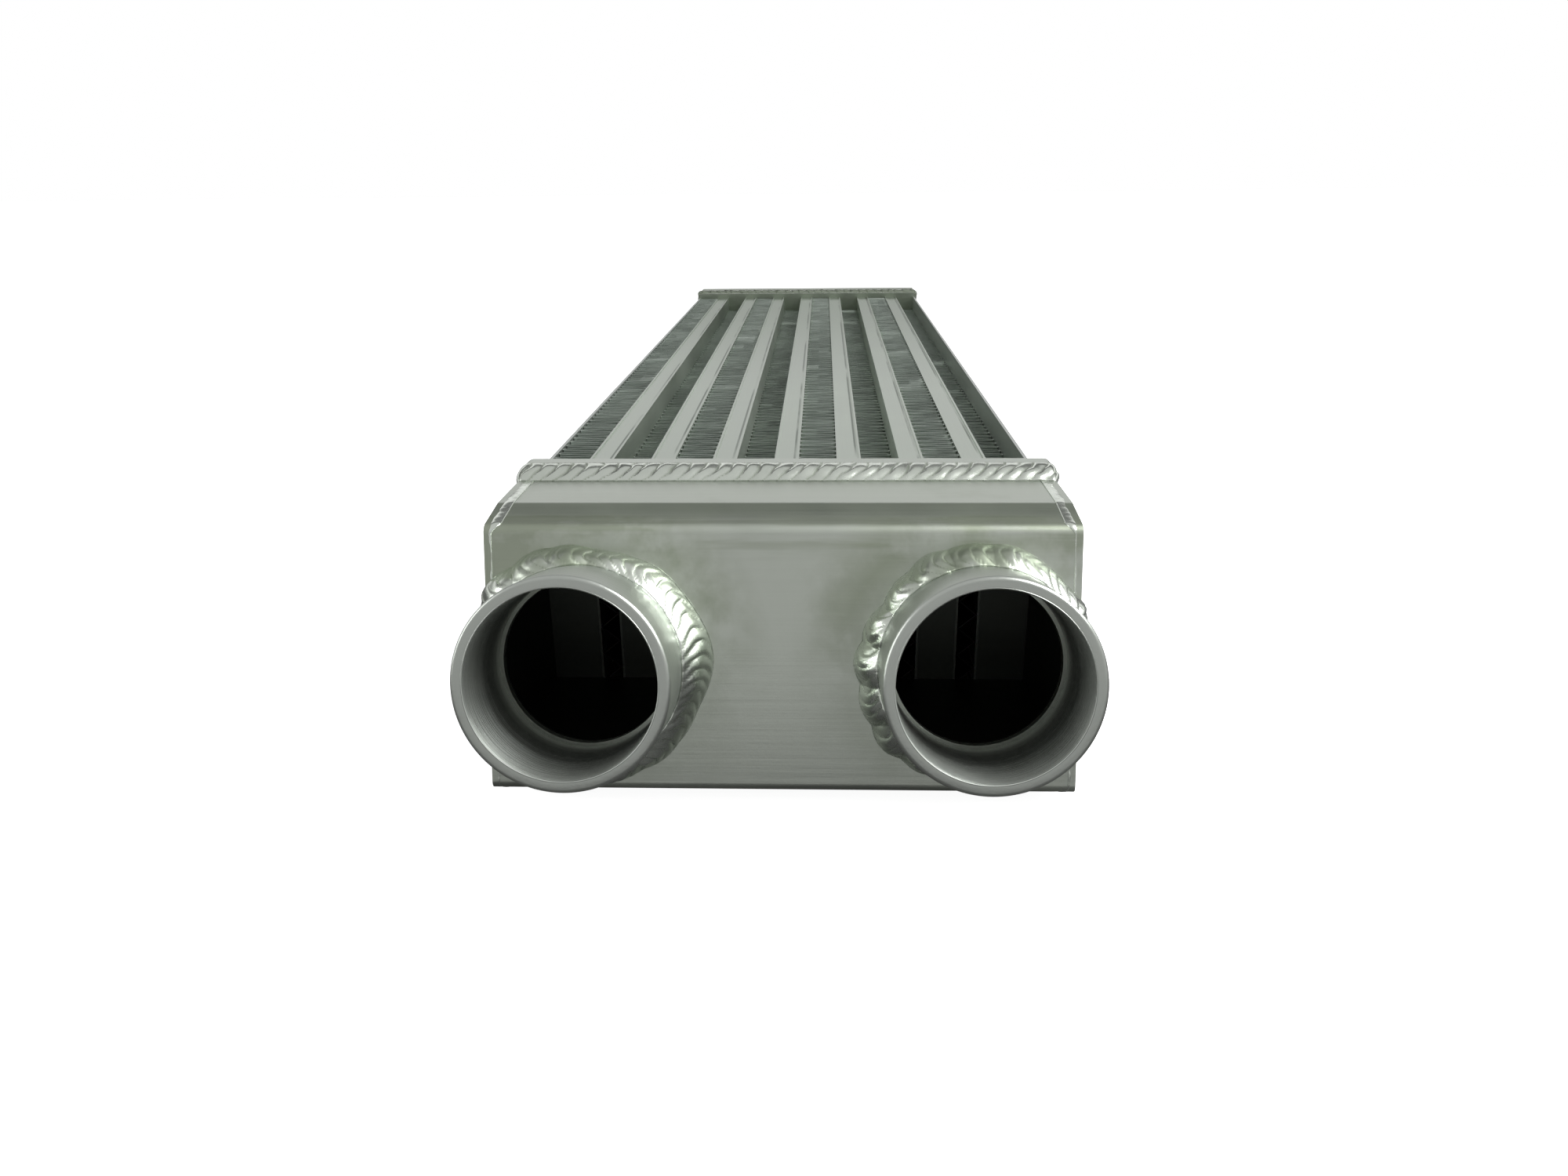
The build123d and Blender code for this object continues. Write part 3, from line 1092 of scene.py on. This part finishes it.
# %% The shape of a ring bead
tank_half = 93.5 * mm
ring_leg = 8.4 * mm
ring_climb = 3.5 * mm
ring_trim = 3.2 * mm
ring_overhang = 1.2 * mm
ring_least = 1.0 * mm
slow_waves = 3
slow_drift = 0.8 * mm
quick_waves = 7
quick_drift = 0.5 * mm


def ring_drift(turn, seed):
    """How much wider than usual the bead is at a turn, from an unsteady hand."""
    slow = slow_drift * math.sin(slow_waves * turn + seed)
    quick = quick_drift * math.sin(quick_waves * turn + 2 * seed)
    return slow + quick


def ring_reach(side, turn, leg, slim):
    """How far the toe on the tank lies from the pipe's axis."""
    reach = pipe_outer + leg - ring_trim * max(0.0, math.sin(turn))
    outward = side * math.cos(turn)
    reach -= slim * max(0.0, -outward)
    if outward > 0:
        reach = min(reach, (tank_half + ring_overhang - pipe_x) / outward)
    return max(reach, pipe_outer + ring_least)


print("a ring bead climbs", round((ring_leg + ring_climb) / mm, 1), "mm up its pipe")

# %% Ring beads
ring_points = 900
ring_swell = 1.4 * mm
swell_lean = 0.7
ring_lobes = 17
lobe_size = 1.4 * mm
lobe_middle = 0.6
smooth_turn = math.radians(20)
smoke_turn = math.radians(95)
smoke_focus = 6
ring_buried = 0.5 * mm


def ring_bead(name, side, seed, slim):
    """The fillet round a pipe's foot, lobed except round one smooth turn."""
    rows = []
    buried = []
    smoke = []
    for i in range(ring_points):
        turn = 2 * math.pi * i / ring_points
        lobe = abs(math.sin(ring_lobes * turn / 2))
        chunky = (1 - math.cos(turn - smooth_turn)) / 2
        leg = ring_leg + (ring_drift(turn, seed) + lobe_size * chunky * lobe)
        reach = ring_reach(side, turn, leg, slim)
        full = ring_swell + lobe_size * chunky * (lobe - lobe_middle)
        row = []
        for s in bead_shares:
            swell = full * math.sin(math.pi * s) * swell_lean
            radius = pipe_outer + (reach - pipe_outer) * s + swell
            row.append(on_pipe(side, turn, radius, (leg + ring_climb) * (1 - s) + swell))
        rows.append(row)
        buried.append(on_pipe(side, turn, pipe_outer - ring_buried, -ring_buried))
        smoke += [max(0.0, math.cos(turn - smoke_turn)) ** smoke_focus] * (bead_across + 1)
    piece, length = bead(name, rows, True, buried)
    keep_values(piece, smoke=smoke)
    return piece, length


for name, side, seed, slim in (("inlet", -1, 0.6, 0.6 * mm), ("outlet", 1, 2.9, 2.6 * mm)):
    piece, length = ring_bead(f"{name}_ring_bead", side, seed, slim)
    ripple(
        piece, length, pitch=4.2 * mm, Bow=1.3, Seed=seed, Height=0.42 * mm, Lump=1.3 * mm,
        Wander=1.5, Soot=0.8,
    )
    settle(piece, "weld_bead", f"{name}_weld")

# %% [markdown]
# ### Edge beads at the tank's ends
# Each end plate is welded to the tank all along its edge: over the land, down the slope,
# round the front edge, down the face, and back under the tank. The sheet's own edge could
# carry the bead, but its corners are sharp and a weld's aren't. So the bead follows a path
# with rounded corners. It is broad on the land and slim down the face.

# %% A path with rounded corners
path_step = 0.55 * mm


def rounded_path(corners):
    """(point, direction) samples along straight runs joined by arcs, in the YZ plane."""
    samples = []
    start = Vector(corners[0][:2])
    for i in range(1, len(corners)):
        corner = Vector(corners[i][:2])
        ahead = (corner - start).normalized()
        radius = corners[i][2]
        last = i == len(corners) - 1
        after = ahead if last else (Vector(corners[i + 1][:2]) - corner).normalized()
        turn = ahead.angle_signed(after) if radius else 0.0
        cut = radius * math.tan(abs(turn) / 2)
        stop = corner - ahead * cut
        steps = max(2, round((stop - start).length / path_step))
        samples += [(start.lerp(stop, k / steps), ahead) for k in range(steps)]
        arc_steps = max(1, round(radius * abs(turn) / path_step)) if radius else 0
        inward = Vector((-ahead.y, ahead.x)) * (-1 if turn > 0 else 1)
        centre = stop + inward * radius
        for k in range(arc_steps):
            part = Matrix.Rotation(-turn * k / arc_steps, 2)
            samples.append((centre - part @ inward * radius, part @ ahead))
        start = corner + after * cut
    samples.append((Vector(corners[-1][:2]), ahead))
    return samples


print("a sample every", path_step / mm, "mm")

# %% Edge beads
land_top = 91.5 * mm
land_bottom = 3.5 * mm
body_top = 89.0 * mm
body_bottom = 6.0 * mm
seam_end = header_front - 11.0 * mm
land_front = header_front - 38.0 * mm
land_round = 1.5 * mm
top_round = 3.5 * mm
bottom_round = 2.5 * mm
edge_proud = 0.05 * mm
edge_outside = 0.1 * mm
edge_buried = 2.0 * mm
edge_fullness = 0.8
edge_arch = [math.sin(math.pi * s) ** edge_fullness for s in bead_shares]
# Each pair holds for level stretches and for upright ones.
edge_width = (5.5 * mm, 2.3 * mm)
edge_drop = (2.6 * mm, 1.6 * mm)
edge_swell = (1.5 * mm, 0.4 * mm)


def face_y(z):
    """How far forward the front face lies at a height."""
    return pipe_foot.y + (z - pipe_height) * math.tan(face_tilt)


def edge_bead(name, side):
    """The bead round one end of the front tank."""
    path = rounded_path(
        [
            (seam_end, land_top, 0),
            (land_front, land_top, land_round),
            (face_y(body_top), body_top, top_round),
            (face_y(body_bottom), body_bottom, bottom_round),
            (land_front, land_bottom, land_round),
            (seam_end, land_bottom, 0),
        ]
    )
    across = Vector((side, 0, 0))
    rows = []
    buried = []
    for spot, ahead in path:
        out = Vector((0, ahead.y, -ahead.x))
        steep = abs(ahead.y) ** 2
        width, drop, swell = (
            level + (upright - level) * steep
            for level, upright in (edge_width, edge_drop, edge_swell)
        )
        place = Vector((0, spot.x, spot.y))
        first = place + across * (tank_half - width) + out * edge_proud
        last = place + across * (tank_half + edge_outside) - out * drop
        bulge = (across + out).normalized() * swell
        rows.append([first.lerp(last, s) + bulge * a for s, a in zip(bead_shares, edge_arch)])
        buried.append(place + across * (tank_half - edge_buried) - out * edge_buried)
    return bead(name, rows, False, buried)


for name, side, seed in (("left", -1, 5.0), ("right", 1, 6.0)):
    piece, length = edge_bead(f"edge_bead_{name}", side)
    ripple(
        piece, length, pitch=3.4 * mm, Lean=0.5, Seed=seed, Height=0.05 * mm, Lump=0.5 * mm,
        Wander=1.2, Soot=0.4,
    )
    settle(piece, "weld_bead", f"top_edge_weld_{name}", f"bottom_edge_weld_{name}")

# %% [markdown]
# ## The studio
# A plain pale floor and soft lights. Polished metal shows its surroundings, so they are
# chosen by what each surface mirrors: the flat tops mirror a pale wall behind the part, the
# slope of the tank mirrors a dark beam high up behind it, and the front face mirrors the grey
# room behind the lens and a table, which is darker than the floor that the camera sees.

# %% Floor
floor_half = 8.0
floor_seen_glow = 0.9
floor_seen_shade = 0.8
floor_mirrored_glow = 0.04
floor_mirrored_shade = 0.05
floor_roughness = 0.9
far_glow = 0.46
far_start = 0.30
far_end = 1.6
floor_mesh = bpy.data.meshes.new("floor")
corners = [(x * floor_half, y * floor_half, 0) for x, y in ((-1, -1), (1, -1), (1, 1), (-1, 1))]
floor_mesh.from_pydata(corners, [], [(0, 1, 2, 3)])
floor = new_object("floor", floor_mesh)
floor_paint = bpy.data.materials.new("pale floor")
floor_paint.use_nodes = True
tree = floor_paint.node_tree
paint = tree.nodes["Principled BSDF"].inputs
looked_at = add(tree, "ShaderNodeLightPath", {}, output="Is Camera Ray")
spot = add(tree, "ShaderNodeTexCoord", {}, output="Object")
away = add(tree, "ShaderNodeVectorMath", {"Vector": spot}, output="Value", operation="LENGTH")
table_glow = ramp(away, far_start, far_end) * far_glow + floor_mirrored_glow
shade = blend(looked_at, floor_mirrored_shade, floor_seen_shade)
fill(paint["Base Color"], add(tree, "ShaderNodeCombineXYZ", {"X": shade, "Y": shade, "Z": shade}))
fill(paint["Roughness"], floor_roughness)
fill(paint["Specular IOR Level"], 0.0)
fill(paint["Emission Color"], (1, 1, 1, 1))
fill(paint["Emission Strength"], blend(looked_at, table_glow, floor_seen_glow))
floor_mesh.materials.append(floor_paint)
print("floor:", 2 * floor_half, "m wide")

# %% [markdown]
# ### Lights
# A bright lamp from the upper right makes the white glints on the welds, and a weak one from
# the left lifts the side of the tank. Both are wide, because a small lamp would leave hard
# points of light on metal.

# %% Soft lights


def softbox(name, place, target, width, height, watts):
    """A rectangular area light that faces a target."""
    data = bpy.data.lights.new(name, "AREA")
    data.shape = "RECTANGLE"
    data.size = width
    data.size_y = height
    data.energy = watts
    light = new_object(name, data)
    turn = (Vector(target) - Vector(place)).to_track_quat("-Z", "Y").to_matrix().to_4x4()
    light.matrix_world = Matrix.Translation(Vector(place)) @ turn


softbox("upper right", (1.05, -0.40, 1.15), (0.0, -0.3, 0.05), width=0.9, height=0.9, watts=30)
softbox("left", (-1.4, -0.5, 0.5), (-0.05, -0.3, 0.05), width=0.4, height=0.9, watts=4)

# %% [markdown]
# ### What the metal mirrors
# A picture of a real studio could light the part, but it can't be tuned surface by surface.
# This sky is worked out from the way that a ray goes. In front of the part and behind it, a
# wall rises from a foot of one brightness to a top of another. The two blend at the sides,
# and a ceiling closes them. The beam is a dark stretch between two heights, only behind.

# %% Surroundings
wall_foot = 0.12
wall_top = 0.98
wall_rise = (0.04, 0.25)
room_foot = 0.84
room_top = 0.43
room_rise = (0.0, 0.17)
room_to_wall = (-0.8, 0.8)
ceiling = 0.55
ceiling_rise = (0.38, 0.48)
dark_beam = 0.10
beam_behind = (0.05, 0.50)
beam_from = (0.37, 0.46)
beam_to = (0.72, 0.62)
camera_sees = 1.0

world = bpy.data.worlds.new("studio")
bpy.context.scene.world = world
world.use_nodes = True
sky = world.node_tree
backdrop = sky.nodes["Background"].inputs
_, y, z = xyz(add(sky, "ShaderNodeTexCoord", {}, output="Generated"))
behind = blend(ramp(z, *wall_rise), wall_foot, wall_top)
in_front = blend(ramp(z, *room_rise), room_foot, room_top)
walls = blend(ramp(y, *room_to_wall), in_front, behind)
room = blend(ramp(z, *ceiling_rise), walls, ceiling)
beam = ramp(y, *beam_behind) * ramp(z, *beam_from) * ramp(z, *beam_to)
around = blend(beam, room, dark_beam)
seen = add(sky, "ShaderNodeLightPath", {}, output="Is Camera Ray")
fill(backdrop["Strength"], blend(seen, around, camera_sees))
fill(backdrop["Color"], (1, 1, 1, 1))
bpy.context.scene.view_settings.view_transform = "Standard"
print("sky nodes:", len(sky.nodes))
